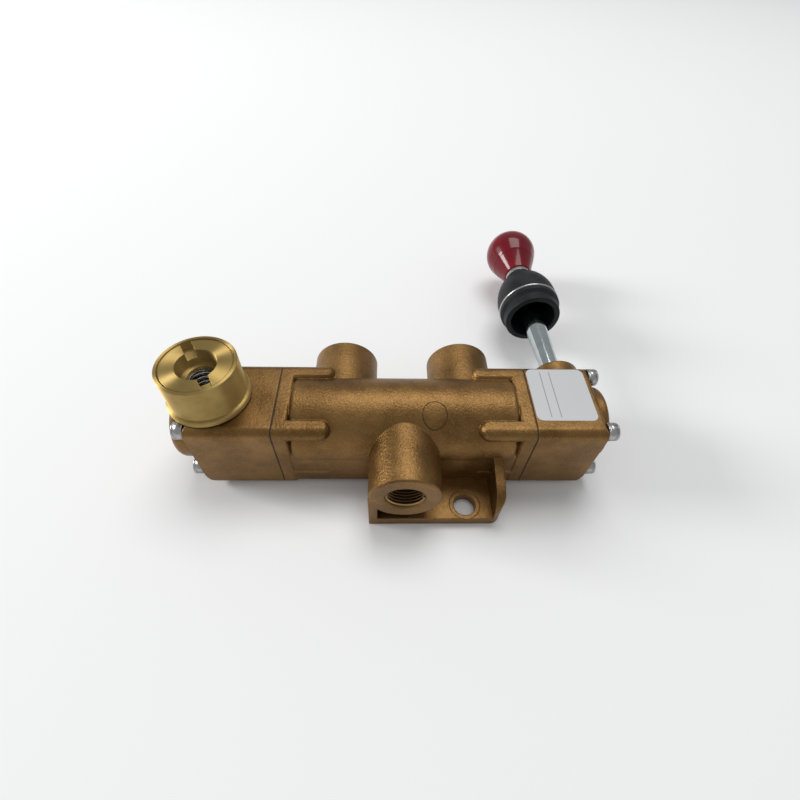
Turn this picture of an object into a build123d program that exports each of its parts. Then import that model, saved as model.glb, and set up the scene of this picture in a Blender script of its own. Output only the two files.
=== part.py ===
from build123d import *
import math
import os

# Hand lever air valve with three ports and a sliding spool. Millimetres.
# The spool axis runs along X, the lever points to +Y and the bonnet to +Z.
# The origin is on the foot face, below the middle of the body.

os.makedirs("parts", exist_ok=True)

# How far a cutting tool runs past the face it opens
over = 1.0

# Block section, shared by the body flanges and both end housings
axis_height = 25.0
block_half_width = 20.4
block_top = 17.9
block_bottom = 24.6
block_corner = 4.2

# Main body
body_half_length = 56.7
flange_thickness = 6.0
flange_round = 1.5
crown_radius = 20.3
crown_end_round = 2.0
flank_half_width = 17.9
core_bottom = 23.4
core_corner = 4.0
bore_radius = 11.0
screw_boss_radius = 4.5
screw_boss_length = 24.5

# Ports
port_boss_radius = 15.9
front_port_reach = 41.0
rear_port_reach = 37.5
rear_port_offset = 29.0
port_hole_radius = 8.5
port_thread_depth = 14.0
port_mouth_chamfer = 0.8
port_passage_radius = 6.5
port_face_chamfer = 0.7

# Foot
foot_thickness = 5.3
foot_right = 45.2
foot_web_thickness = 3.9
foot_gusset_thickness = 4.2
foot_gusset_start = 1.3
foot_gusset_fall = 8.6
foot_gusset_round = 13.0
foot_corner_round = 5.0
rear_foot_half_width = 12.0
rear_foot_reach = 41.5
mount_hole_radius = 5.15
mount_hole_x = 28.7
mount_hole_y = 33.8
mount_face_radius = 7.2
mount_face_depth = 0.5

# End screws
screw_y = 15.9
screw_z = 14.3
screw_radius = 2.4
screw_hole_clearance = 0.2
screw_thread_clearance = 0.05
screw_grip = 12.0
screw_tip_gap = 1.5
screw_head_radius = 3.96
screw_head_height = 4.8
screw_head_round = 0.5
screw_socket_size = 3.97
screw_socket_depth = 2.6
screw_head_relief = 0.4

# Gaskets at the two parting faces
gasket_thickness = 0.5
gasket_inset = 0.4

# Lever housing
lever_housing_length = 30.6
end_boss_radius = 16.9
end_boss_reach = 4.7
end_boss_round = 2.0
toe_radius = 9.0
brow_radius = 1.6
guide_length = 5.0
guide_clearance = 0.09
lever_cavity_radius = 9.0
lever_end_wall = 2.0
ball_boss_end = 30.0
ball_boss_wall = 2.4
ball_boss_base = 15.2
ball_boss_shoulder = 2.8
ball_boss_round = 1.2

# Friction housing
friction_housing_length = 36.4
pod_reach = 10.4
pod_round = 4.0
tail_cavity_radius = 7.4
tail_end_wall = 2.7
bonnet_x = -86.0
bonnet_y = 0.3
bonnet_neck_radius = 17.2

# Bonnet
bonnet_gasket_thickness = 0.6
bonnet_gasket_radius = 15.0
bonnet_flange_radius = 17.9
bonnet_flange_thickness = 2.6
bonnet_flange_round = 1.1
bonnet_radius = 16.6
bonnet_height = 20.3
bonnet_edge_round = 0.4
bonnet_lip = 1.4
bonnet_spigot_radius = 11.5
bonnet_spigot_depth = 8.6
bonnet_thread_depth = 14.4
spring_chamber_radius = 8.1
chamber_floor_gap = 0.9
thread_clearance = 0.08

# Adjusting plug, spring and friction shoe
plug_length = 9.2
plug_recess = 0.3
plug_bore_radius = 8.5
plug_floor = 1.5
plug_eye_radius = 6.3
plug_chamfer = 0.6
slot_width = 4.5
slot_depth = 4.2
slot_angle = 122.0
seat_thickness = 0.8
seat_radius = 7.6
seat_hole_radius = 5.6
spring_wire_radius = 0.75
spring_coil_radius = 6.2
spring_turns = 5.5
spring_end_gap = 0.1
shoe_head_radius = 7.5
shoe_head_height = 2.2
shoe_head_gap = 0.6
shoe_stem_radius = 5.5
shoe_guide_clearance = 0.1
shoe_face_gap = 0.05

# Spool
spool_radius = 6.35
spool_groove_radius = 4.2
spool_chamfer = 0.6
seal_position_inner = 14.5
seal_position_outer = 44.0
seal_width = 2.9
seal_side_gap = 0.05
seal_round = 0.6
seal_overlap = 0.7
seal_clearance = 0.09
tail_flat_height = 4.0
tail_flat_margin = 1.0
spool_ear = 2.6
spool_ear_height = 2.5
spool_bridge = 2.6

# Port cages and bore bushes, which space the seals
cage_rim = 3.0
cage_inner_radius = 7.7
cage_outer_radius = 9.3
cage_hole_radius = 3.0
cage_hole_count = 6
cage_clearance = 0.05
cage_end_gap = 0.1

# Hand lever
pivot_x = 79.5
pivot_y = 22.0
lever_swing = 12.0
lever_lean = 1.7
ball_radius = 7.6
ball_clearance = 0.08
race_wall = 2.0
race_clearance = 0.05
race_gap = 1.5
race_depth = 4.6
seat_race_length = 4.5
retainer_inset = 0.6
retainer_mouth_radius = 7.2
passage_radius = 6.4
rod_neck_radius = 4.2
rod_neck_end = 29.0
rod_base_radius = 4.7
rod_base_start = 34.0
rod_radius = 5.8
rod_taper_end = 64.0
rod_shoulder = 113.6
stud_radius = 3.9
stud_length = 20.0
stud_clearance = 0.05
arm_radius = 2.3
arm_length = 12.0
arm_cone_length = 3.5
tip_radius = 3.0
tip_clearance = 0.1
ferrule_radius = 7.8
ferrule_length = 3.2
ferrule_chamfer = 0.5
knob_radius = 15.8
knob_rise = 26.9
knob_centre = rod_shoulder + knob_rise
knob_neck_radius = 7.4
knob_neck_angle = 50.0

# Boot
boot_mouth = 74.5
boot_rim_radius = 15.8
boot_rim_wall = 3.2
boot_rim_length = 5.5
boot_band_radius = 17.3
boot_band_start = 82.0
boot_band_end = 88.5
boot_dome_bulge = 2.6
boot_dome_radius = 8.4
boot_dome_end = 111.0
boot_end = 113.0
boot_wall = 2.6
boot_rod_clearance = 0.3
boot_edge_round = 0.8
ring_position = 85.2
ring_wire_radius = 0.9
ring_stand = 0.35

# Label
label_length = 27.2
label_width = 30.2
label_offset = 0.5
label_y = 2.4
label_thickness = 0.15
label_corner = 3.0

# Worked out from the sizes above
parting_x = body_half_length + gasket_thickness
lever_face_x = parting_x + lever_housing_length
lever_end_x = lever_face_x + end_boss_reach
friction_face_x = -(parting_x + friction_housing_length)
friction_end_x = friction_face_x - pod_reach
top_z = axis_height + block_top
bottom_z = axis_height - block_bottom
stroke = pivot_y * math.radians(lever_swing)
rest_shift = pivot_y * math.sin(math.radians(lever_lean))
screw_spots = [(y, axis_height + z) for y in (-screw_y, screw_y) for z in (-screw_z, screw_z)]
bonnet_seat_z = top_z + bonnet_gasket_thickness
bonnet_top_z = top_z + bonnet_height
spigot_base_z = bonnet_seat_z - bonnet_spigot_depth
chamber_floor_z = spigot_base_z - chamber_floor_gap
plug_top_z = bonnet_top_z - plug_recess
plug_base_z = plug_top_z - plug_length
seat_base_z = plug_base_z - seat_thickness
shoe_head_z = chamber_floor_z + shoe_head_gap
shoe_top_z = shoe_head_z + shoe_head_height
race_radius = ball_radius + race_wall
ball_boss_radius = race_radius + ball_boss_wall
seat_race_end = pivot_y - race_gap
seat_race_start = seat_race_end - seat_race_length
slot_half = tip_radius + tip_clearance
spool_right = pivot_x + slot_half + spool_ear
spool_left = bonnet_x - shoe_stem_radius - stroke
land_inner = seal_position_inner + seal_width / 2 + seal_overlap - stroke
land_outer = seal_position_inner + seal_width / 2 + seal_overlap + stroke
end_land = seal_position_outer - seal_width / 2 - seal_overlap - stroke
pocket_half = seal_width / 2 + seal_side_gap
reach_out = 200.0


def along_x(section, x_from, x_to):
    """Extrude a section drawn on YZ between two planes."""
    return extrude(Plane.YZ.offset(min(x_from, x_to)) * section, amount=abs(x_to - x_from))


def rod_x(radius, x_from, x_to, y=0.0, z=axis_height):
    """A cylinder along X."""
    return along_x(Pos(y, z) * Circle(radius), x_from, x_to)


def rod_y(radius, y_from, y_to, x=0.0, z=axis_height):
    """A cylinder along Y."""
    blank = Cylinder(radius, abs(y_to - y_from), align=(Align.CENTER, Align.CENTER, Align.MIN))
    return Pos(x, min(y_from, y_to), z) * Rot(-90, 0, 0) * blank


def rod_z(radius, z_from, z_to, x=0.0, y=0.0):
    """A cylinder along Z."""
    blank = Cylinder(radius, z_to - z_from, align=(Align.CENTER, Align.CENTER, Align.MIN))
    return Pos(x, y, z_from) * blank


def slab(x_span, y_span, z_span):
    """A box between two corners."""
    size = [high - low for low, high in (x_span, y_span, z_span)]
    return Pos(x_span[0], y_span[0], z_span[0]) * Box(*size, align=(Align.MIN, Align.MIN, Align.MIN))


def turned(outline):
    """Turn a closed outline of (radius, height) curves about Z."""
    return revolve(Plane.XZ * make_face(outline), Axis.Z)


def behind(solid):
    """Stand a part turned about Z on the lever bore, which runs along Y."""
    return Pos(pivot_x, 0, axis_height) * Rot(-90, 0, 0) * solid


def on_lever(solid):
    """Stand a part turned about Z on the lever, leaning about its pivot."""
    lean = Pos(pivot_x, pivot_y, 0) * Rot(0, 0, lever_lean) * Pos(-pivot_x, -pivot_y, 0)
    return lean * behind(solid)


def block_section(inset=0.0):
    """The rounded rectangle of the end faces, drawn on YZ."""
    width = 2 * (block_half_width - inset)
    height = block_top + block_bottom - 2 * inset
    middle = axis_height + (block_top - block_bottom) / 2
    return Pos(0, middle) * RectangleRounded(width, height, block_corner - inset)


def screw_holes(radius, x_from, x_to):
    """The four corner holes between two planes."""
    holes = [rod_x(radius, x_from, x_to, y, z) for y, z in screw_spots]
    return Part() + holes


def core():
    """The cast middle: a round crown over flat flanks, run out to both flanges."""
    height = core_bottom + block_top / 2
    low = Pos(0, axis_height - core_bottom + height / 2) * RectangleRounded(
        2 * flank_half_width, height, core_corner
    )
    high = Pos(0, axis_height) * Circle(block_top)
    crown_half = body_half_length - flange_thickness
    crown = rod_x(crown_radius, -crown_half, crown_half)
    crown = fillet(crown.edges().filter_by(GeomType.CIRCLE), crown_end_round)
    return along_x(low + high, -body_half_length, body_half_length) + crown


def flange(side):
    """The flange at one end, with the cast bars around its four screws."""
    face = side * body_half_length
    plate = along_x(block_section(), face, face - side * flange_thickness)
    inner = plate.faces().sort_by(Axis.X)[0 if side > 0 else -1]
    plate = fillet(inner.edges(), flange_round)
    for y, z in screw_spots:
        end = face - side * (screw_boss_length - screw_boss_radius)
        bar = rod_x(screw_boss_radius, face, end, y, z) + Pos(end, y, z) * Sphere(screw_boss_radius)
        plate += bar & along_x(block_section(), -reach_out, reach_out)
    return plate


def port_boss(side, reach, x):
    """A round port boss from the spool axis out to its machined face."""
    boss = rod_y(port_boss_radius, 0, side * reach, x)
    rim = boss.edges().filter_by(GeomType.CIRCLE).sort_by(Axis.Y)[-1 if side > 0 else 0]
    return chamfer(rim, port_face_chamfer)


def port_hole(side, reach, x):
    """A port's tapped hole, with its mouth chamfer and the passage to the bore."""
    hole = rod_y(port_hole_radius, side * reach, side * (reach - port_thread_depth), x)
    wide = port_hole_radius + port_mouth_chamfer
    cone = Cone(port_hole_radius, wide, port_mouth_chamfer)
    mouth = Pos(x, side * (reach - port_mouth_chamfer / 2), axis_height) * Rot(-90 * side, 0, 0) * cone
    return hole + mouth + rod_y(port_passage_radius, 0, side * reach, x)


def front_foot():
    """The bolting plate below the front port, with its web and its gusset."""
    back = flank_half_width - core_corner
    left = -port_boss_radius
    size = (foot_right - left, front_port_reach - back)
    plan = Pos((left + foot_right) / 2, -(front_port_reach + back) / 2) * Rectangle(*size)
    plan = fillet(plan.vertices().group_by(Axis.Y)[0].sort_by(Axis.X)[-1], foot_corner_round)
    column = extrude(plan, amount=axis_height + block_top)
    y_span = (-front_port_reach, -back)
    plate = slab((left, foot_right), y_span, (0, foot_thickness))
    web = slab((left, left + foot_web_thickness), y_span, (0, axis_height))
    crest = axis_height + foot_gusset_start
    low = crest - foot_gusset_fall
    corners = [(-back, 0), (-front_port_reach, 0), (-front_port_reach, low), (-back, crest)]
    side = make_face(Polyline(*corners, close=True))
    front_top = side.vertices().group_by(Axis.X)[0].sort_by(Axis.Y)[-1]
    gusset = along_x(fillet(front_top, foot_gusset_round), foot_right - foot_gusset_thickness, foot_right)
    return (plate + web + gusset) & column


def rear_foot():
    """The bolting tongue between the two rear ports, and the pad that joins it to the front."""
    back = flank_half_width - core_corner
    size = (2 * rear_foot_half_width, rear_foot_reach - back)
    plan = Pos(0, (rear_foot_reach + back) / 2) * Rectangle(*size)
    plan = fillet(plan.vertices().group_by(Axis.Y)[-1], foot_corner_round)
    pad = slab((-port_boss_radius, foot_right), (-back, back), (0, foot_thickness))
    return extrude(plan, amount=foot_thickness) + pad


def mount_hole(x, y):
    """A foot bolt hole with the machined seat of the bolt's head."""
    low = foot_thickness - mount_face_depth
    seat = rod_z(mount_face_radius, low, foot_thickness + mount_face_depth, x, y)
    return rod_z(mount_hole_radius, -over, foot_thickness + over, x, y) + seat


def main_body():
    """The cast body with its bore, three ports, two flanges and foot."""
    body = core() + flange(-1) + flange(1) + front_foot() + rear_foot()
    body += port_boss(-1, front_port_reach, 0)
    body += port_boss(1, rear_port_reach, -rear_port_offset)
    body += port_boss(1, rear_port_reach, rear_port_offset)
    body -= rod_x(bore_radius, -body_half_length, body_half_length)
    body -= port_hole(-1, front_port_reach, 0)
    body -= port_hole(1, rear_port_reach, -rear_port_offset)
    body -= port_hole(1, rear_port_reach, rear_port_offset)
    body -= mount_hole(mount_hole_x, -mount_hole_y) + mount_hole(0, mount_hole_y)
    for side in (-1, 1):
        depth = side * (body_half_length - screw_grip - screw_tip_gap)
        body -= screw_holes(screw_radius + screw_thread_clearance, side * body_half_length, depth)
    return body


def gasket(side):
    """The flat gasket between the body and one end housing."""
    sheet = along_x(block_section(gasket_inset), side * body_half_length, side * parting_x)
    sheet -= rod_x(bore_radius, side * body_half_length, side * parting_x)
    hole = screw_radius + screw_hole_clearance
    return sheet - screw_holes(hole, side * body_half_length, side * parting_x)


def housing_block(side, face_x):
    """An end housing's outer block, rounded at its outer bottom corner."""
    middle = (side * parting_x + face_x) / 2
    size = (abs(face_x - side * parting_x), block_top + block_bottom)
    profile = Pos(middle, bottom_z + size[1] / 2) * Rectangle(*size)
    outer = profile.vertices().group_by(Axis.X)[-1 if side > 0 else 0].sort_by(Axis.Y)
    profile = fillet(outer[0], toe_radius)
    outer = profile.vertices().group_by(Axis.X)[-1 if side > 0 else 0].sort_by(Axis.Y)
    profile = fillet(outer[-1], brow_radius)
    wide = extrude(Plane.XZ * profile, amount=block_half_width, both=True)
    return wide & along_x(block_section(), side * parting_x, face_x)


def end_boss(side, radius, face_x, end_x, round_radius):
    """The round boss on an end housing's outer face."""
    boss = rod_x(radius, face_x - side * toe_radius, end_x)
    rim = boss.edges().filter_by(GeomType.CIRCLE).sort_by(Axis.X)[-1 if side > 0 else 0]
    return fillet(rim, round_radius)


def finish_housing(housing, side, face_x):
    """Clear an end housing for its screws, their heads and the spool."""
    housing -= screw_holes(screw_radius + screw_hole_clearance, side * parting_x, face_x)
    relief = screw_head_radius + screw_head_relief
    housing -= screw_holes(relief, face_x, face_x + side * reach_out)
    inner = side * parting_x
    return housing - rod_x(spool_radius + guide_clearance, inner, inner + side * guide_length)


def lever_housing():
    """The right end housing, with the ball socket boss at its back."""
    base = block_half_width
    foot = base - ball_boss_shoulder
    boss = turned(
        Polyline(
            (0, 0), (ball_boss_base, 0), (ball_boss_base, base),
            (ball_boss_radius, base + ball_boss_shoulder),
            (ball_boss_radius, ball_boss_end), (0, ball_boss_end), close=True
        )
    )
    rim = boss.edges().filter_by(GeomType.CIRCLE).sort_by(Axis.Z)[-1]
    boss = fillet(rim, ball_boss_round) - rod_z(ball_boss_base, 0, foot)
    housing = housing_block(1, lever_face_x) + behind(boss)
    housing += end_boss(1, end_boss_radius, lever_face_x, lever_end_x, end_boss_round)
    housing = finish_housing(housing, 1, lever_face_x)
    housing -= rod_x(lever_cavity_radius, parting_x + guide_length, lever_end_x - lever_end_wall)
    housing -= rod_y(passage_radius, 0, ball_boss_end, pivot_x)
    return housing - rod_y(race_radius + race_clearance, seat_race_start, ball_boss_end, pivot_x)


def friction_housing():
    """The left end housing, with the round neck that carries the bonnet."""
    housing = housing_block(-1, friction_face_x)
    housing += end_boss(-1, end_boss_radius, friction_face_x, friction_end_x, pod_round)
    housing += rod_z(bonnet_neck_radius, axis_height, top_z, bonnet_x, bonnet_y)
    housing = finish_housing(housing, -1, friction_face_x)
    inner = -(parting_x + guide_length)
    housing -= rod_x(tail_cavity_radius, inner, friction_end_x + tail_end_wall)
    socket = bonnet_spigot_radius + thread_clearance
    housing -= rod_z(socket, chamber_floor_z, top_z + over, bonnet_x, bonnet_y)
    guide = shoe_stem_radius + shoe_guide_clearance
    return housing - rod_z(guide, axis_height, chamber_floor_z + over, bonnet_x, bonnet_y)


def end_screws(side, face_x):
    """Four socket head cap screws through one end housing into the body."""
    screws = []
    for y, z in screw_spots:
        head = rod_x(screw_head_radius, face_x, face_x + side * screw_head_height, y, z)
        rim = head.edges().filter_by(GeomType.CIRCLE).sort_by(Axis.X)[-1 if side > 0 else 0]
        head = fillet(rim, screw_head_round)
        hexagon = Pos(y, z) * RegularPolygon(screw_socket_size / 2, 6, major_radius=False)
        top = face_x + side * screw_head_height
        head -= along_x(hexagon, top, top - side * screw_socket_depth)
        shank = rod_x(screw_radius, face_x, side * (body_half_length - screw_grip), y, z)
        screws.append(head + shank)
    return screws


def bonnet():
    """The turned brass bonnet: flange, tube, threaded spigot and spring chamber."""
    bore = bonnet_radius - bonnet_lip
    shelf = bonnet_top_z - bonnet_thread_depth
    blank = turned(
        Polyline(
            (0, spigot_base_z), (bonnet_spigot_radius, spigot_base_z),
            (bonnet_spigot_radius, bonnet_seat_z), (bonnet_flange_radius, bonnet_seat_z),
            (bonnet_flange_radius, bonnet_seat_z + bonnet_flange_thickness),
            (bonnet_radius, bonnet_seat_z + bonnet_flange_thickness), (bonnet_radius, bonnet_top_z),
            (0, bonnet_top_z), close=True
        )
    )
    rims = blank.edges().filter_by(GeomType.CIRCLE).sort_by(Axis.Z)
    blank = fillet(rims[-1], bonnet_edge_round)
    brim = [e for e in blank.edges().filter_by(GeomType.CIRCLE)
            if abs(e.center().Z - bonnet_seat_z - bonnet_flange_thickness) < 0.01
            and e.radius > bonnet_radius + 0.01]
    blank = fillet(brim, bonnet_flange_round)
    blank -= rod_z(bore, shelf, bonnet_top_z + over)
    blank -= rod_z(spring_chamber_radius, spigot_base_z - over, shelf + over)
    return Pos(bonnet_x, bonnet_y, 0) * blank


def bonnet_gasket():
    """The sealing washer under the bonnet flange."""
    washer = rod_z(bonnet_gasket_radius, top_z, bonnet_seat_z) - rod_z(
        bonnet_spigot_radius + thread_clearance, top_z - over, bonnet_seat_z + over
    )
    return Pos(bonnet_x, bonnet_y, 0) * washer


def adjusting_plug():
    """The screwed plug, a cup with an eye in its floor and a driver slot across its face."""
    radius = bonnet_radius - bonnet_lip - thread_clearance
    blank = rod_z(radius, plug_base_z, plug_top_z)
    blank = chamfer(blank.edges().filter_by(GeomType.CIRCLE), plug_chamfer)
    blank -= rod_z(plug_bore_radius, plug_base_z + plug_floor, plug_top_z + over)
    blank -= rod_z(plug_eye_radius, plug_base_z - over, plug_top_z)
    half = slot_width / 2
    slot = slab((-reach_out, reach_out), (-half, half), (plug_top_z - slot_depth, plug_top_z + over))
    return Pos(bonnet_x, bonnet_y, 0) * (blank - Rot(0, 0, slot_angle) * slot)


def spring_seat():
    """The washer between the plug and the spring."""
    washer = rod_z(seat_radius, seat_base_z, plug_base_z)
    washer -= rod_z(seat_hole_radius, seat_base_z - over, plug_base_z + over)
    return Pos(bonnet_x, bonnet_y, 0) * washer


def friction_spring():
    """The round wire coil spring between the shoe and the plug."""
    low = shoe_top_z + spring_end_gap + spring_wire_radius
    high = seat_base_z - spring_end_gap - spring_wire_radius
    path = Helix(pitch=(high - low) / spring_turns, height=high - low, radius=spring_coil_radius)
    section = Plane(origin=path @ 0, z_dir=path % 0) * Circle(spring_wire_radius)
    return Pos(bonnet_x, bonnet_y, low) * sweep(section, path=path)


def friction_shoe():
    """The flat shoe that the spring presses on the spool's tail."""
    foot_z = axis_height + tail_flat_height + shoe_face_gap
    shoe = rod_z(shoe_stem_radius, foot_z, shoe_head_z + 0.5 * shoe_head_height)
    shoe += rod_z(shoe_head_radius, shoe_head_z, shoe_top_z)
    return Pos(bonnet_x, bonnet_y, 0) * shoe


def spool():
    """The sliding spool: lands, grooves, a flat on its tail and a slot for the lever's tip."""
    rod = rod_x(spool_groove_radius, -end_land - over, end_land + over)
    rod += rod_x(spool_radius, spool_left, -end_land) + rod_x(spool_radius, end_land, spool_right)
    rod += rod_x(spool_radius, -land_outer, -land_inner) + rod_x(spool_radius, land_inner, land_outer)
    edges = [e for e in rod.edges().filter_by(GeomType.CIRCLE) if e.radius > spool_groove_radius + 0.01]
    rod = chamfer(edges, spool_chamfer)
    side = (-spool_radius - over, spool_radius + over)
    flat_end = bonnet_x + shoe_stem_radius + stroke + tail_flat_margin
    flat = axis_height + tail_flat_height
    rod -= slab((spool_left - over, flat_end), side, (flat, flat + spool_radius))
    tall = (axis_height - spool_radius - over, axis_height + spool_radius + over)
    floor = spool_bridge - spool_radius
    rod -= slab((pivot_x - slot_half, pivot_x + slot_half), (floor, side[1]), tall)
    shelf = pivot_x - slot_half - spool_ear
    rod -= slab((shelf, spool_right + over), (spool_ear_height, side[1]), tall)
    return Pos(rest_shift, 0, 0) * rod


def bore_ring(x_from, x_to):
    """A plain ring that fits the body bore and guides the spool."""
    return rod_x(bore_radius - cage_clearance, x_from, x_to) - rod_x(
        spool_radius + seal_clearance, x_from - over, x_to + 1
    )


def port_cage(x_from, x_to):
    """A cage between two seals: a thin drilled wall between two rims."""
    cage = bore_ring(x_from, x_to)
    first = x_from + cage_rim
    last = x_to - cage_rim
    cage -= rod_x(bore_radius, first, last) - rod_x(cage_outer_radius, first, last)
    cage -= rod_x(cage_inner_radius, first, last)
    middle = (x_from + x_to) / 2
    for index in range(cage_hole_count):
        turn = Pos(0, 0, axis_height) * Rot(360 / cage_hole_count * index, 0, 0) * Pos(0, 0, -axis_height)
        cage -= turn * rod_y(cage_hole_radius, 0, bore_radius + over, middle)
    return cage


def spool_seals():
    """Four lip ring seals in the pockets between the cages."""
    seals = []
    for x in (-seal_position_outer, -seal_position_inner, seal_position_inner, seal_position_outer):
        low = spool_radius + seal_clearance
        high = bore_radius - cage_clearance
        section = RectangleRounded(high - low, seal_width, seal_round)
        ring = revolve(Plane.XZ * Pos((low + high) / 2, 0) * section, Axis.Z)
        seals.append(Pos(x, 0, axis_height) * Rot(0, 90, 0) * ring)
    return seals


def race(far, length, mouth):
    """A ball race turned about Z: a spherical cup on one side, open to a mouth."""
    cup = ball_radius + ball_clearance
    throat = math.sqrt(cup ** 2 - race_depth ** 2)
    lip = math.sqrt(cup ** 2 - race_gap ** 2)
    middle = (race_gap + race_depth) / 2
    edge = math.sqrt(cup ** 2 - middle ** 2)
    end = race_gap + length
    outline = ThreePointArc((lip, race_gap), (edge, middle), (throat, race_depth))
    outline += Polyline(
        (throat, race_depth), (mouth, end), (race_radius, end), (race_radius, race_gap), (lip, race_gap)
    )
    solid = turned(outline)
    return Pos(0, 0, pivot_y) * (solid if far else Rot(180, 0, 0) * solid)


def ball_seat():
    """The inner race, on the ledge inside the boss."""
    throat = math.sqrt((ball_radius + ball_clearance) ** 2 - race_depth ** 2)
    return behind(race(False, seat_race_length, throat))


def ball_retainer():
    """The outer race, screwed into the boss mouth."""
    length = ball_boss_end - retainer_inset - pivot_y - race_gap
    return behind(race(True, length, retainer_mouth_radius))


def lever_rod():
    """The lever's rod, from its round drive tip to the stud inside the knob."""
    join = math.sqrt(tip_radius ** 2 - arm_radius ** 2)
    stud_end = rod_shoulder + stud_length
    outline = ThreePointArc((0, -tip_radius), (tip_radius, 0), (arm_radius, join))
    outline += Polyline(
        (arm_radius, join), (arm_radius, arm_length), (rod_neck_radius, arm_length + arm_cone_length),
        (rod_neck_radius, rod_neck_end), (rod_base_radius, rod_base_start), (rod_radius, rod_taper_end),
        (rod_radius, rod_shoulder), (stud_radius, rod_shoulder), (stud_radius, stud_end), (0, stud_end),
        (0, -tip_radius)
    )
    return on_lever(turned(outline))


def pivot_ball():
    """The ball pressed on the rod."""
    ball = Pos(0, 0, pivot_y) * Sphere(ball_radius)
    return on_lever(ball - rod_z(rod_neck_radius, pivot_y - ball_radius, pivot_y + ball_radius))


def knob_ferrule():
    """The bright collar between the rod's shoulder and the knob."""
    end = rod_shoulder + ferrule_length
    collar = rod_z(ferrule_radius, rod_shoulder, end)
    collar = chamfer(collar.edges().filter_by(GeomType.CIRCLE), ferrule_chamfer)
    return on_lever(collar - rod_z(stud_radius + stud_clearance, rod_shoulder - over, end + over))


def lever_knob():
    """The ball knob with its short neck and blind hole."""
    base = rod_shoulder + ferrule_length
    angle = math.radians(knob_neck_angle)
    out = knob_radius * math.cos(angle)
    join = knob_centre - knob_radius * math.sin(angle)
    run = (out - knob_neck_radius) / math.tan(angle)
    outline = Polyline((0, base), (knob_neck_radius, base), (knob_neck_radius, join - run), (out, join))
    outline += ThreePointArc((out, join), (knob_radius, knob_centre), (0, knob_centre + knob_radius))
    outline += Line((0, knob_centre + knob_radius), (0, base))
    hole = rod_z(stud_radius + stud_clearance, base - over, rod_shoulder + stud_length + stud_clearance)
    return on_lever(turned(outline) - hole)


def bulge(start, end, rise):
    """An arc that stands a given rise outside the straight line between two points."""
    across = math.dist(start, end)
    normal = ((end[1] - start[1]) / across, (start[0] - end[0]) / across)
    middle = [(start[i] + end[i]) / 2 + rise * normal[i] for i in (0, 1)]
    return ThreePointArc(start, tuple(middle), end)


def lever_boot():
    """The rubber boot: a rim, a grooved band and a dome that closes on the rod."""
    hole = rod_radius + boot_rod_clearance
    rim_inner = boot_rim_radius - boot_rim_wall
    dome = ((boot_band_radius, boot_band_end), (boot_dome_radius, boot_dome_end))
    vault = ((rim_inner, boot_band_end), (hole, boot_dome_end - boot_wall))
    outline = Polyline(
        (boot_rim_radius, boot_mouth), (boot_rim_radius, boot_mouth + boot_rim_length),
        (boot_band_radius, boot_band_start), dome[0]
    )
    outline += bulge(*dome, boot_dome_bulge)
    outline += Polyline(dome[1], (boot_dome_radius, boot_end), (hole, boot_end), vault[1])
    outline += bulge(*vault, boot_dome_bulge)
    outline += Polyline(vault[0], (rim_inner, boot_mouth), (boot_rim_radius, boot_mouth))
    boot = turned(outline)
    mouth = boot.edges().filter_by(GeomType.CIRCLE).group_by(Axis.Z)[0]
    boot = fillet(mouth, boot_edge_round)
    return on_lever(boot - ring_wire())


def ring_wire():
    """The wire ring, turned about Z."""
    centre = boot_band_radius - ring_wire_radius + ring_stand
    return Pos(0, 0, ring_position) * Torus(centre, ring_wire_radius)


def blank_label():
    """The plain label on top of the lever housing."""
    middle = parting_x + label_offset + label_length / 2
    sheet = Pos(middle, label_y) * RectangleRounded(label_length, label_width, label_corner)
    return Pos(0, 0, top_z) * extrude(sheet, amount=label_thickness)


def write(name, shape):
    """Write one sub-part as a STEP file."""
    if isinstance(shape, list):
        shape = Compound(children=shape)
    export_step(shape, f"parts/{name}.step")


write("main_body", main_body())
write("lever_end_gasket", gasket(1))
write("friction_end_gasket", gasket(-1))
write("lever_housing", lever_housing())
write("friction_housing", friction_housing())
write("lever_end_screws", end_screws(1, lever_face_x))
write("friction_end_screws", end_screws(-1, friction_face_x))
write("bonnet", bonnet())
write("bonnet_gasket", bonnet_gasket())
write("adjusting_plug", adjusting_plug())
write("spring_seat", spring_seat())
write("friction_spring", friction_spring())
write("friction_shoe", friction_shoe())
write("spool", spool())
write("spool_seals", spool_seals())
write("left_bore_bush", bore_ring(cage_end_gap - body_half_length, -seal_position_outer - pocket_half))
write("left_port_cage", port_cage(-seal_position_outer + pocket_half, -seal_position_inner - pocket_half))
write("centre_port_cage", port_cage(-seal_position_inner + pocket_half, seal_position_inner - pocket_half))
write("right_port_cage", port_cage(seal_position_inner + pocket_half, seal_position_outer - pocket_half))
write("right_bore_bush", bore_ring(seal_position_outer + pocket_half, body_half_length - cage_end_gap))
write("ball_seat", ball_seat())
write("ball_retainer", ball_retainer())
write("pivot_ball", pivot_ball())
write("lever_rod", lever_rod())
write("knob_ferrule", knob_ferrule())
write("lever_knob", lever_knob())
write("lever_boot", lever_boot())
write("boot_ring", on_lever(ring_wire()))
write("blank_label", blank_label())
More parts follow.
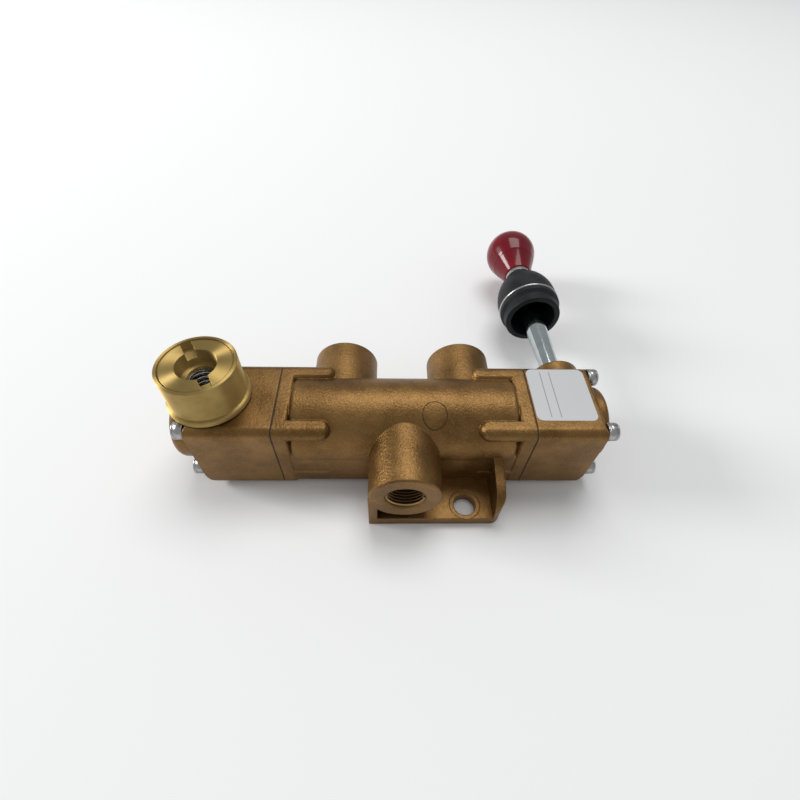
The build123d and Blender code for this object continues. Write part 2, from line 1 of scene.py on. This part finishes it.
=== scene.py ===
import bpy
import math
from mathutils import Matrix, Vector


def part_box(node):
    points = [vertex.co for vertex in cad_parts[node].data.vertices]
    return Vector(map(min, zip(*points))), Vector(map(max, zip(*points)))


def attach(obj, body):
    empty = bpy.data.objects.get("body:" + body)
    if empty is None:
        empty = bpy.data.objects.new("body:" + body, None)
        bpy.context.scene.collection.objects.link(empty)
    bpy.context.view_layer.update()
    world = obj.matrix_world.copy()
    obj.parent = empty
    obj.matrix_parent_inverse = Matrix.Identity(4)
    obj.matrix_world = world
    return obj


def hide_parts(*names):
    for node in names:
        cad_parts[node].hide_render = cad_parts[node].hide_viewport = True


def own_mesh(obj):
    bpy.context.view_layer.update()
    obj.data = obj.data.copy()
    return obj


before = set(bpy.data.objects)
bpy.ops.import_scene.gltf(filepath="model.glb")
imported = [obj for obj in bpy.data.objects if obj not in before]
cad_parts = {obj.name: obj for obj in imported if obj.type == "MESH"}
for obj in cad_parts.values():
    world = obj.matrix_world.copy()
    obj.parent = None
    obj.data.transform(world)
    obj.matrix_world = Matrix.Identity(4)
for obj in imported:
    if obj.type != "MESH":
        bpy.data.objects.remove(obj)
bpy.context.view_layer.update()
mm = 0.001

cameraSetup = {
    "place": (-8.216, -124.928, 196.119),   # mm
    "turn": (38.8387, -1.5925, -0.8469),    # degrees
    "lens": 19.864,
    "sensor": 36,
    "clip": (0.005, 20),    # metres
}
stageSetup = {
    "floorSize": 6.0,
    "room": (0.40, 0.405, 0.41),
}
lampSetup = {
    # place, aim, size in metres and power in watts
    "topLamp": ((0.25, 0.95, 2.3), (0, 0, 0.02), (1.5, 1.0), 24),
    "sideLamp": ((-2.2, 0.40, 0.95), (0, 0, 0.02), (0.7, 0.7), 36),
}


def addCamera(setup):
    data = bpy.data.cameras.new("camera")
    data.lens = setup["lens"]
    data.sensor_width = setup["sensor"]
    data.clip_start, data.clip_end = setup["clip"]
    camera = bpy.data.objects.new("camera", data)
    camera.location = [value * mm for value in setup["place"]]
    camera.rotation_euler = [math.radians(angle) for angle in setup["turn"]]
    bpy.context.scene.collection.objects.link(camera)
    bpy.context.scene.camera = camera


def addLamp(name, place, aim, size, power):
    data = bpy.data.lights.new(name, "AREA")
    data.shape = "RECTANGLE"
    data.size, data.size_y = size
    data.energy = power
    lamp = bpy.data.objects.new(name, data)
    lamp.location = place
    lamp.rotation_euler = (Vector(aim) - Vector(place)).to_track_quat("-Z", "Y").to_euler()
    bpy.context.scene.collection.objects.link(lamp)


bevelSamples = 6


class Wire:
    # one output socket, with arithmetic on values

    def __init__(self, paint, socket):
        self.paint = paint
        self.socket = socket

    def __add__(self, other):
        return self.paint.calc("ADD", self, other)

    def __sub__(self, other):
        return self.paint.calc("SUBTRACT", self, other)

    def __mul__(self, other):
        return self.paint.calc("MULTIPLY", self, other)

    def __truediv__(self, other):
        return self.paint.calc("DIVIDE", self, other)

    def __pow__(self, other):
        return self.paint.calc("POWER", self, other)

    __radd__ = __add__


class Paint:
    # a material with one main shader, whose constants are set on the shader's own sockets

    def __init__(self, name, **constants):
        self.material = bpy.data.materials.new(name)
        self.material.use_nodes = True
        self.tree = self.material.node_tree
        self.tree.nodes.clear()
        self.shader = self.tree.nodes.new("ShaderNodeBsdfPrincipled")
        end = self.tree.nodes.new("ShaderNodeOutputMaterial")
        self.tree.links.new(self.shader.outputs[0], end.inputs["Surface"])
        for key, value in constants.items():
            self.shader.inputs[key.replace("_", " ")].default_value = value
        self.place = self.node("ShaderNodeTexCoord", output="Object")

    def node(self, kind, settings=None, values=None, output=0):
        made = self.tree.nodes.new(kind)
        for key, value in (settings or {}).items():
            setattr(made, key, value)
        for key, value in (values or {}).items():
            self.feed(made.inputs[key], value)
        return Wire(self, made.outputs[output])

    def feed(self, socket, value):
        if isinstance(value, Wire):
            self.tree.links.new(value.socket, socket)
        elif socket.type == "RGBA":
            socket.default_value = (*value, 1)
        else:
            socket.default_value = value

    def calc(self, operation, *values):
        return self.node("ShaderNodeMath", {"operation": operation}, dict(enumerate(values)))

    def level(self, value, low, high, start=0.0, end=1.0):
        # start below low, end above high, and even between
        values = {0: value, 1: low, 2: high, 3: start, 4: end}
        return self.node("ShaderNodeMapRange", {"clamp": True}, values)

    def noise(self, scale, detail=2.0, stretch=None):
        place = self.place
        if stretch:
            place = self.node("ShaderNodeMapping", {}, {"Vector": place, "Scale": stretch})
        return self.node("ShaderNodeTexNoise", {}, {"Vector": place, "Scale": scale, "Detail": detail})

    def rings(self, value, scale):
        values = {"W": value, "Scale": scale, "Detail": 3}
        return self.node("ShaderNodeTexNoise", {"noise_dimensions": "1D"}, values)

    def mix(self, factor, first, second):
        return self.node("ShaderNodeMix", {"data_type": "RGBA"}, {0: factor, 6: first, 7: second}, output=2)

    def around(self, centre):
        # the object place as x, y, z wires measured from a centre
        moved = self.node("ShaderNodeVectorMath", {"operation": "SUBTRACT"}, {0: self.place, 1: centre})
        parts = self.tree.nodes.new("ShaderNodeSeparateXYZ")
        self.feed(parts.inputs[0], moved)
        return [Wire(self, socket) for socket in parts.outputs]

    def soften(self, radius):
        return self.node("ShaderNodeBevel", {"samples": bevelSamples}, {"Radius": radius})

    def bump(self, height, distance, strength=1.0, normal=None):
        values = {"Height": height, "Distance": distance, "Strength": strength}
        if normal is not None:
            values["Normal"] = normal
        return self.node("ShaderNodeBump", {}, values)

    def use(self, **feeds):
        for name, wire in feeds.items():
            self.feed(self.shader.inputs[name.replace("_", " ")], wire)
        return self.material


def shade(colour, share):
    return [min(1, channel * share) for channel in colour]


castLook = {
    "light": (0.26, 0.143, 0.048),
    "dark": (0.158, 0.084, 0.026),
    "metallic": 0.88,
    "mottle": 70, "grain": 900, "fine": 2600, "fleck": 2400,    # noise scales
    "mottleSpan": (0.35, 0.65),
    "fleckSpan": (0.72, 0.98),
    "fleckShare": 0.28, "fleckLift": 1.7,
    "mottleRough": 0.16, "grainRough": 0.2,
    "fineShare": 0.5,
    "depth": 0.00022, "strength": 0.8,      # of the grain
    "edge": 0.0008,
}


def castPaint(name, light, dark, grain, roughness):
    # bronze coloured metallic coat over sand cast metal
    look = castLook
    paint = Paint(name, Metallic=look["metallic"])
    mottle = paint.noise(look["mottle"], 3)
    grains = paint.noise(look["grain"], 3)
    fine = paint.noise(look["fine"], 2)
    values = {"Vector": paint.place, "Scale": look["fleck"]}
    fleck = paint.node("ShaderNodeTexVoronoi", {}, values, output="Color")
    bright = paint.level(paint.node("ShaderNodeSeparateColor", {}, {0: fleck}), *look["fleckSpan"])
    colour = paint.mix(paint.level(mottle, *look["mottleSpan"]), dark, light)
    colour = paint.mix(bright * look["fleckShare"], colour, shade(light, look["fleckLift"]))
    rough = roughness + (mottle - 0.5) * look["mottleRough"] + (grains - 0.5) * look["grainRough"]
    height = grains + fine * look["fineShare"]
    skin = paint.bump(height, look["depth"] * grain, look["strength"], paint.soften(look["edge"]))
    return paint.use(Base_Color=colour, Roughness=rough, Normal=skin)


brassLook = {
    "bright": (0.54, 0.385, 0.145), "stained": (0.40, 0.275, 0.09),
    "stain": 120, "stainSpan": (0.3, 0.75),
    "marks": 2600, "depth": 0.00002, "strength": 0.7,
    "edge": 0.0002,
    "rough": 0.42, "stainRough": 0.1,
}


def turnedBrass(name, centre):
    # brass turned about Z: fine circular tool marks that spread a light along the radius
    look = brassLook
    paint = Paint(name, Metallic=1.0, Anisotropic=0.95, Anisotropic_Rotation=0.25)
    x, y, z = paint.around(centre)
    radius = (x * x + y * y) ** 0.5
    marks = paint.rings(radius, look["marks"]) + paint.rings(z, look["marks"])
    stain = paint.noise(look["stain"], 3)
    colour = paint.mix(paint.level(stain, *look["stainSpan"]), look["bright"], look["stained"])
    skin = paint.bump(marks, look["depth"], look["strength"], paint.soften(look["edge"]))
    return paint.use(Base_Color=colour, Roughness=look["rough"] + stain * look["stainRough"], Normal=skin)


metalLook = {
    "stain": 260, "stainShade": 0.8, "stainRough": 0.14,
    "grain": 2700, "depth": 0.00002, "strength": 0.5,
    "edge": 0.00015,
}


def plainMetal(name, colour, roughness):
    look = metalLook
    paint = Paint(name, Metallic=1.0)
    stain = paint.noise(look["stain"], 3)
    tone = paint.mix(stain, colour, shade(colour, look["stainShade"]))
    grain = paint.noise(look["grain"], 2)
    skin = paint.bump(grain, look["depth"], look["strength"], paint.soften(look["edge"]))
    return paint.use(Base_Color=tone, Roughness=roughness + (stain - 0.5) * look["stainRough"], Normal=skin)


rodLook = {
    "bright": (0.58, 0.63, 0.64), "stained": (0.40, 0.45, 0.46),
    "stain": 180,
    "stretch": (2500, 60, 2500),    # short across the rod and long along it
    "depth": 0.00002, "strength": 0.4,
    "rough": 0.07, "stainRough": 0.08,
}


def rodMetal(name):
    # bright plated rod with long faint draw marks
    look = rodLook
    paint = Paint(name, Metallic=1.0)
    marks = paint.noise(1, 3, stretch=look["stretch"])
    stain = paint.noise(look["stain"], 2)
    tone = paint.mix(stain, look["bright"], look["stained"])
    skin = paint.bump(marks, look["depth"], look["strength"])
    return paint.use(Base_Color=tone, Roughness=look["rough"] + stain * look["stainRough"], Normal=skin)


knobLook = {
    "red": (0.185, 0.004, 0.011), "deep": (0.115, 0.002, 0.007), "dusty": (0.30, 0.08, 0.09),
    "swirl": 45, "swirlSpan": (0.35, 0.7),
    "dust": 1500, "dustSpan": (0.66, 0.82, 0, 0.35),
    "wave": 160, "depth": 0.00012, "strength": 0.25,
    "rough": 0.16, "dustRough": 0.14,
}


def redPlastic(name):
    look = knobLook
    paint = Paint(name, Coat_Weight=0.3, Coat_Roughness=0.04, Specular_IOR_Level=0.15)
    swirl = paint.noise(look["swirl"], 3)
    dust = paint.noise(look["dust"], 2)
    tone = paint.mix(paint.level(swirl, *look["swirlSpan"]), look["red"], look["deep"])
    tone = paint.mix(paint.level(dust, *look["dustSpan"]), tone, look["dusty"])
    skin = paint.bump(paint.noise(look["wave"], 2), look["depth"], look["strength"])
    return paint.use(Base_Color=tone, Roughness=look["rough"] + dust * look["dustRough"], Normal=skin)


rubberLook = {
    "boot": ((0.007, 0.008, 0.009), (0.018, 0.020, 0.022)),     # clean and bloomed
    "seal": ((0.01, 0.01, 0.01), (0.02, 0.02, 0.02)),
    "bloom": 110, "bloomSpan": (0.4, 0.75),
    "grain": 2200, "depth": 0.00008, "strength": 0.5,
    "edge": 0.0003,
    "rough": 0.42, "bloomRough": 0.2,
}


def blackRubber(name, clean, bloomed):
    look = rubberLook
    paint = Paint(name, Specular_IOR_Level=0.22)
    bloom = paint.noise(look["bloom"], 3)
    tone = paint.mix(paint.level(bloom, *look["bloomSpan"]), clean, bloomed)
    grain = paint.noise(look["grain"], 3)
    skin = paint.bump(grain, look["depth"], look["strength"], paint.soften(look["edge"]))
    return paint.use(Base_Color=tone, Roughness=look["rough"] + bloom * look["bloomRough"], Normal=skin)


labelLook = {
    "film": (0.56, 0.57, 0.58),
    "ink": (0.16, 0.16, 0.17),
    "lines": (0.24, 0.40),      # shares of the label's width
    "halfWidth": 0.007,
    "ends": 0.06,
    "inkShare": 0.8,
    "haze": 60, "hazeShare": 0.4, "hazeShade": 0.88,
    "rough": 0.34, "hazeRough": 0.1,
}


def labelFilm(name):
    # white film with two thin ruled lines along its length
    look = labelLook
    paint = Paint(name)
    low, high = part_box("blank_label")
    x, y, z = paint.around(low)
    across = x / (high.x - low.x)
    along = y / (high.y - low.y)
    rules = sum(paint.calc("COMPARE", across, spot, look["halfWidth"]) for spot in look["lines"])
    inside = paint.calc("COMPARE", along, 0.5, 0.5 - look["ends"])
    haze = paint.noise(look["haze"], 2)
    film = paint.mix(haze * look["hazeShare"], look["film"], shade(look["film"], look["hazeShade"]))
    tone = paint.mix(rules * inside * look["inkShare"], film, look["ink"])
    return paint.use(Base_Color=tone, Roughness=look["rough"] + haze * look["hazeRough"])


gasketLook = {
    "dark": (0.03, 0.028, 0.026), "pale": (0.075, 0.07, 0.062),
    "fibre": 1400, "depth": 0.00008, "strength": 0.4,
    "rough": 0.6, "fibreRough": 0.2,
}


def gasketSheet(name):
    look = gasketLook
    paint = Paint(name)
    fibre = paint.noise(look["fibre"], 3)
    tone = paint.mix(fibre, look["dark"], look["pale"])
    skin = paint.bump(fibre, look["depth"], look["strength"])
    return paint.use(Base_Color=tone, Roughness=look["rough"] + fibre * look["fibreRough"], Normal=skin)


floorLook = {
    "colour": (0.93, 0.93, 0.93),
    "tint": 3, "tintShade": 0.985,
    "rough": 0.9, "tintRough": 0.05,
}


def floorPaint():
    look = floorLook
    paint = Paint("floorPaint", Specular_IOR_Level=0.1)
    tint = paint.noise(look["tint"], 1)
    tone = paint.mix(tint, look["colour"], shade(look["colour"], look["tintShade"]))
    return paint.use(Base_Color=tone, Roughness=look["rough"] + tint * look["tintRough"])


def addWorld():
    # a plain grey room, since the floor fills the picture
    world = bpy.data.worlds.new("world")
    world.use_nodes = True
    world.node_tree.nodes["Background"].inputs["Color"].default_value = (*stageSetup["room"], 1)
    bpy.context.scene.world = world


def addFloor():
    bpy.ops.mesh.primitive_plane_add(size=stageSetup["floorSize"])
    floor = bpy.context.object
    floor.name = "floor"
    floor.data.materials.append(floorPaint())


addCamera(cameraSetup)
for name, setup in lampSetup.items():
    addLamp(name, *setup)
addWorld()
addFloor()
bpy.context.scene.view_settings.view_transform = "Standard"
print("stage ready")

castGrain = {
    # share of the grain's depth, and roughness
    "body": (1.0, 0.42),
    "housing": (0.5, 0.38),
    "stamp": (0.3, 0.6),
}
metals = {
    # colour and roughness
    "springWire": ((0.60, 0.60, 0.59), 0.22),
    "zincSteel": ((0.50, 0.50, 0.49), 0.28),
    "groundSteel": ((0.60, 0.60, 0.60), 0.2),
    "cageBrass": ((0.66, 0.48, 0.20), 0.3),
    "cutThread": ((0.34, 0.225, 0.10), 0.34),
}
bonnetLow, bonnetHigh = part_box("bonnet")
bonnetCentre = (bonnetLow + bonnetHigh) / 2
castBody = castPaint("castBody", castLook["light"], castLook["dark"], *castGrain["body"])
castHousing = castPaint("castHousing", castLook["light"], castLook["dark"], *castGrain["housing"])
brightBrass = turnedBrass("brightBrass", bonnetCentre)
redKnob = redPlastic("redKnob")
springWire = plainMetal("springWire", *metals["springWire"])
zincSteel = plainMetal("zincSteel", *metals["zincSteel"])
finishes = {
    castBody: ["main_body"],
    castHousing: ["lever_housing", "friction_housing"],
    brightBrass: ["bonnet", "adjusting_plug"],
    zincSteel: [
        "lever_end_screws", "friction_end_screws", "knob_ferrule", "boot_ring",
        "spring_seat", "friction_shoe",
    ],
    rodMetal("platedRod"): ["lever_rod"],
    plainMetal("groundSteel", *metals["groundSteel"]): ["spool", "pivot_ball"],
    springWire: ["friction_spring"],
    redKnob: ["lever_knob"],
    blackRubber("bootRubber", *rubberLook["boot"]): ["lever_boot"],
    blackRubber("sealRubber", *rubberLook["seal"]): ["spool_seals"],
    gasketSheet("gasketSheet"): ["lever_end_gasket", "friction_end_gasket", "bonnet_gasket"],
    plainMetal("cageBrass", *metals["cageBrass"]): [
        "left_bore_bush", "left_port_cage", "centre_port_cage", "right_port_cage", "right_bore_bush",
        "ball_seat", "ball_retainer",
    ],
    labelFilm("labelFilm"): ["blank_label"],
}
for material, names in finishes.items():
    for name in names:
        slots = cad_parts[name].data.materials
        for index in range(len(slots)):
            slots[index] = material
print("materials ready")


smoothAngle = math.radians(30)
mergeGap = 1e-6     # metres


def startMesh(name, corners, closed=True):
    # a line of edges in the local XZ plane, made the only selected object
    bpy.ops.object.select_all(action="DESELECT")
    mesh = bpy.data.meshes.new(name)
    edges = [(index, index + 1) for index in range(len(corners) - 1)]
    if closed:
        edges.append((len(corners) - 1, 0))
    mesh.from_pydata([(radius * mm, 0, rise * mm) for radius, rise in corners], edges, [])
    piece = bpy.data.objects.new(name, mesh)
    bpy.context.scene.collection.objects.link(piece)
    bpy.context.view_layer.objects.active = piece
    piece.select_set(True)
    return piece


def sweep(piece, steps, turns, pitch, angle=2 * math.pi):
    # turns the line about the local Z axis, closes it and makes its faces point outward
    screw = piece.modifiers.new("sweep", "SCREW")
    screw.steps = steps
    screw.render_steps = steps
    screw.angle = angle
    screw.iterations = turns
    screw.screw_offset = pitch * mm
    screw.use_merge_vertices = pitch == 0
    screw.merge_threshold = mergeGap
    bpy.ops.object.modifier_apply(modifier="sweep")
    bpy.ops.object.mode_set(mode="EDIT")
    bpy.ops.mesh.select_all(action="SELECT")
    bpy.ops.mesh.fill_holes(sides=0)
    bpy.ops.mesh.select_all(action="SELECT")
    bpy.ops.mesh.normals_make_consistent(inside=False)
    bpy.ops.object.mode_set(mode="OBJECT")


def settle(piece, turn, place, body, material):
    # turned and moved into the row frame, with the object left at the origin
    piece.rotation_euler = [math.radians(angle) for angle in turn]
    piece.location = [value * mm for value in place]
    bpy.ops.object.transform_apply(location=True, rotation=True, scale=True)
    piece.data.materials.append(material)
    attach(piece, body)


axisHeight = 25.0     # of the spool's axis, in mm

threadSize = {
    "root": 8.62, "crest": 7.78,
    "footHalf": 0.58, "crestHalf": 0.12,
    "pitch": 1.41, "turns": 8, "start": 12.6,
    "steps": 40,
}
portPlaces = {
    # x, y of the mouth, and the turn about X that lays the thread in its port
    "frontPortThread": (0, -41.0, 90),
    "rearLeftThread": (-29, 37.5, -90),
    "rearRightThread": (29, 37.5, -90),
}


def portThread(name, x, mouth, turn):
    size = threadSize
    corners = [
        (size["root"], -size["footHalf"]), (size["crest"], -size["crestHalf"]),
        (size["crest"], size["crestHalf"]), (size["root"], size["footHalf"]),
    ]
    piece = startMesh(name, corners)
    sweep(piece, size["steps"], size["turns"], size["pitch"])
    inward = 1 if mouth < 0 else -1
    place = (x, mouth + inward * size["start"], axisHeight)
    settle(piece, (turn, 0, 0), place, "valve", portMetal)
    bpy.ops.object.shade_smooth_by_angle(angle=smoothAngle)


portMetal = plainMetal("cutThread", *metals["cutThread"])
for name, (x, mouth, turn) in portPlaces.items():
    portThread(name, x, mouth, turn)
print("threads ready")

knurlSize = {
    "inner": 3.3, "outer": 3.93, "crest": 4.07,
    "low": 0.5, "high": 3.9,
    "steps": 72,
}
headFaces = {
    # x of the face under the heads, and the turn about Y that points a head outward
    "leverHeadKnurl": (87.8, 90),
    "frictionHeadKnurl": (-93.6, -90),
}
headSpots = [(-15.9, 10.7), (-15.9, 39.3), (15.9, 10.7), (15.9, 39.3)]      # y and z


def headKnurl(name, face, turn, y, z):
    size = knurlSize
    corners = [
        (size["inner"], size["low"]), (size["outer"], size["low"]),
        (size["outer"], size["high"]), (size["inner"], size["high"]),
    ]
    piece = startMesh(name, corners)
    sweep(piece, size["steps"], 1, 0)
    raiseRidges(piece, size)
    settle(piece, (0, turn, 0), (face, y, z), "valve", zincSteel)


def raiseRidges(piece, size):
    # every other line of the sleeve's outside moves out to the crest
    bpy.ops.object.mode_set(mode="EDIT")
    bpy.ops.mesh.select_all(action="DESELECT")
    bpy.ops.object.mode_set(mode="OBJECT")
    for vertex in piece.data.vertices:
        x, y, z = vertex.co
        step = round(math.atan2(y, x) / (2 * math.pi) * size["steps"])
        vertex.select = step % 2 == 0 and math.hypot(x, y) > (size["inner"] + size["outer"]) / 2 * mm
    bpy.ops.object.mode_set(mode="EDIT")
    grow = size["crest"] / size["outer"]
    bpy.ops.transform.resize(value=(grow, grow, 1), center_override=(0, 0, 0))
    bpy.ops.object.mode_set(mode="OBJECT")


for name, (face, turn) in headFaces.items():
    for index, (y, z) in enumerate(headSpots):
        headKnurl(f"{name}{index + 1}", face, turn, y, z)
print("screw heads ready")

stampSize = {
    "place": (13.0, -9.5),
    "radius": 5.4,
    "wire": 0.24,
    "rounds": 96, "sides": 10,
    "sink": 0.13,
    "crown": 20.3,
    # the ring's dark colours are painted shadow, standing in for the shade inside the stamped groove
    "light": (0.09, 0.05, 0.02), "dark": (0.06, 0.034, 0.014),
}


def stampRing():
    # a plain ring pressed round the crown, with nothing inside it
    size = stampSize
    bpy.ops.object.select_all(action="DESELECT")
    bpy.ops.mesh.primitive_torus_add(
        major_radius=size["radius"] * mm, minor_radius=size["wire"] * mm,
        major_segments=size["rounds"], minor_segments=size["sides"],
    )
    piece = bpy.context.object
    piece.name = "stampRing"
    middleX, middleY = size["place"]
    for vertex in piece.data.vertices:
        across = vertex.co.y + middleY * mm
        surface = math.sqrt((size["crown"] * mm) ** 2 - across ** 2)
        vertex.co.z += surface + (axisHeight - size["sink"]) * mm
    settle(piece, (0, 0, 0), (middleX, middleY, 0), "valve", stampPaint)
    bpy.ops.object.shade_smooth()


stampPaint = castPaint("stampShadow", stampSize["light"], stampSize["dark"], *castGrain["stamp"])
stampRing()
print("stamp ready")

flankSize = {
    "inner": 12.5, "outer": 54.0,       # hidden in the port boss and in the flange
    "front": -20.05, "back": -10.0,
    "bottom": 1.7, "top": 27.5,
    "round": 3.6, "segments": 8,
}


def frontFlank(name, side):
    # the upright cast wall under the crown, beside the front port
    size = flankSize
    bpy.ops.object.select_all(action="DESELECT")
    bpy.ops.mesh.primitive_cube_add(size=1)
    piece = bpy.context.object
    piece.name = name
    spans = [(size["inner"], size["outer"]), (size["front"], size["back"]), (size["bottom"], size["top"])]
    piece.scale = [(high - low) * mm for low, high in spans]
    bpy.ops.object.transform_apply(location=False, rotation=False, scale=True)
    edges = piece.modifiers.new("edges", "BEVEL")
    edges.width = size["round"] * mm
    edges.segments = size["segments"]
    bpy.ops.object.modifier_apply(modifier="edges")
    middle = [(low + high) / 2 for low, high in spans]
    settle(piece, (0, 0, 0), (side * middle[0], middle[1], middle[2]), "valve", castBody)
    bpy.ops.object.shade_smooth_by_angle(angle=smoothAngle)


frontFlank("frontFlankLeft", -1)
frontFlank("frontFlankRight", 1)
print("flanks ready")

knobSize = {
    # rises are measured from the ball's centre, and the neck meets the ferrule
    "neck": [(0, -23.7), (7.9, -23.7), (8.4, -23.3)],
    "body": 5.0,        # straight length between the ball and its rounded foot
    "foot": 6.0,
    "leave": 20,        # degrees below the middle where the ball ends
    "under": 35,
    "steps": 72, "rows": 30, "footRows": 6,
}


def ballKnob():
    # the red knob turned in one line: the ball, a straight run and a rounded foot
    size = knobSize
    low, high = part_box("lever_knob")
    pivotLow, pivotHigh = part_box("pivot_ball")
    radius = (high.z - low.z) / 2
    centre = Vector(((low.x + high.x) / 2, high.y - radius, (low.z + high.z) / 2))
    lean = (centre - (pivotLow + pivotHigh) / 2).to_track_quat("Z", "Y").to_euler()
    ball = radius / mm
    leave, under = math.radians(size["leave"]), math.radians(size["under"])
    middle = (
        (ball - size["foot"]) * math.cos(leave) - size["body"] * math.sin(leave),
        -(ball - size["foot"]) * math.sin(leave) - size["body"] * math.cos(leave),
    )
    corners = list(size["neck"])
    for row in range(size["footRows"] + 1):
        angle = -under + (under - leave) * row / size["footRows"]
        across, rise = size["foot"] * math.cos(angle), size["foot"] * math.sin(angle)
        corners.append((middle[0] + across, middle[1] + rise))
    for row in range(size["rows"] + 1):
        angle = -leave + (math.pi / 2 + leave) * row / size["rows"]
        corners.append((ball * math.cos(angle), ball * math.sin(angle)))
    corners[-1] = (0, ball)
    piece = startMesh("ballKnob", corners, closed=False)
    sweep(piece, size["steps"], 1, 0)
    turn = [math.degrees(angle) for angle in lean]
    settle(piece, turn, [value / mm for value in centre], "lever", redKnob)
    bpy.ops.object.shade_smooth_by_angle(angle=smoothAngle)
    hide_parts("lever_knob")


ballKnob()
print("knob ready")

springSize = {
    "wire": 0.75, "coil": 6.2,      # radii
    "halfTurns": 11,
    "travel": 3.0,
    "sides": 14, "steps": 24,
    "smooth": 40,
}


def softSpring():
    # the spring under the adjusting plug; the real spring shortens as the plug screws down, but here it is
    # built at one fixed length
    size = springSize
    low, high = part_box("friction_spring")
    corners = []
    for side in range(size["sides"]):
        angle = 2 * math.pi * side / size["sides"]
        corners.append((size["coil"] + size["wire"] * math.cos(angle), size["wire"] * math.sin(angle)))
    length = (high.z - low.z) / mm
    piece = startMesh("softSpring", corners)
    sweep(piece, size["steps"], size["halfTurns"], (length - 2 * size["wire"]) / size["halfTurns"], math.pi)
    middle = (low + high) / 2 / mm
    place = (middle.x, middle.y, low.z / mm + size["wire"])
    settle(piece, (0, 0, 0), place, "valve", springWire)
    bpy.ops.object.shade_smooth_by_angle(angle=math.radians(size["smooth"]))
    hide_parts("friction_spring")
    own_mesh(piece)


softSpring()
print("spring ready")
